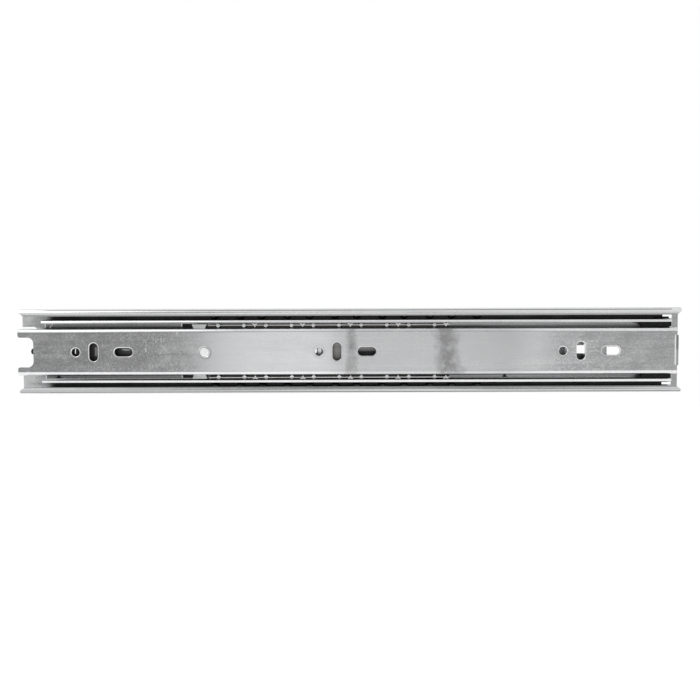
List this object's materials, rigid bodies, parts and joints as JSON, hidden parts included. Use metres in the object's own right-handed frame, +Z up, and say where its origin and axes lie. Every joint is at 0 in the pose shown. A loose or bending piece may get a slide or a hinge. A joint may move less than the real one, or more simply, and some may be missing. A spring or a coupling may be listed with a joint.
{
  "type": "drawer slide",
  "caption": "Side-mounted full-extension ball-bearing drawer slide: nested steel channels with caged balls, release lever and closing detent.",
  "frame": {"origin": "centre of the cabinet member's back face", "axes": "+X runs along the slide towards its rear, +Y points out of the back face into the cabinet side, +Z is up"},
  "size_m": [0.35, 0.0127, 0.045],
  "materials": {
    "zinc_steel": "zinc plated, lightly brushed",
    "retainer_steel": "plain rolled",
    "rivet_steel": "bright zinc",
    "ball_steel": "polished, greased",
    "black_plastic": "moulded satin",
    "bumper_rubber": "matt"
  },
  "bodies": {
    "cabinet": {"cabinet_member": "zinc_steel"},
    "outer_cage": {"outer_ball_retainer": "retainer_steel", "outer_balls_upper": "ball_steel", "outer_balls_lower": "ball_steel"},
    "intermediate": {"intermediate_member": "zinc_steel", "front_bumper": "bumper_rubber", "closing_detent": "black_plastic"},
    "inner_cage": {"inner_ball_retainer": "retainer_steel", "inner_balls_upper": "ball_steel", "inner_balls_lower": "ball_steel"},
    "drawer": {"drawer_member": "zinc_steel", "lever_rivet": "rivet_steel"},
    "lever": {"release_lever": "black_plastic"}
  },
  "joints": [
    {"name": "intermediate_slide", "type": "slide", "parent": "cabinet", "child": "intermediate", "axis": [-1, 0, 0], "range_m": [0, 0.178]},
    {"name": "outer_cage_slide", "type": "slide", "parent": "cabinet", "child": "outer_cage", "axis": [-1, 0, 0], "range_m": [0, 0.089]},
    {"name": "drawer_slide", "type": "slide", "parent": "intermediate", "child": "drawer", "axis": [-1, 0, 0], "range_m": [0, 0.172]},
    {"name": "inner_cage_slide", "type": "slide", "parent": "intermediate", "child": "inner_cage", "axis": [-1, 0, 0], "range_m": [0, 0.086]},
    {"name": "lever_hinge", "type": "hinge", "parent": "drawer", "child": "lever", "pos_m": [-0.0764, -0.009, 0], "axis": [0, -1, 0], "range_deg": [-1, 3.5], "stiffness_Nm_per_rad": 0.02}
  ],
  "couplings": [
    {"joint": "outer_cage_slide", "follows": "intermediate_slide", "ratio": 0.5},
    {"joint": "inner_cage_slide", "follows": "drawer_slide", "ratio": 0.5}
  ]
}
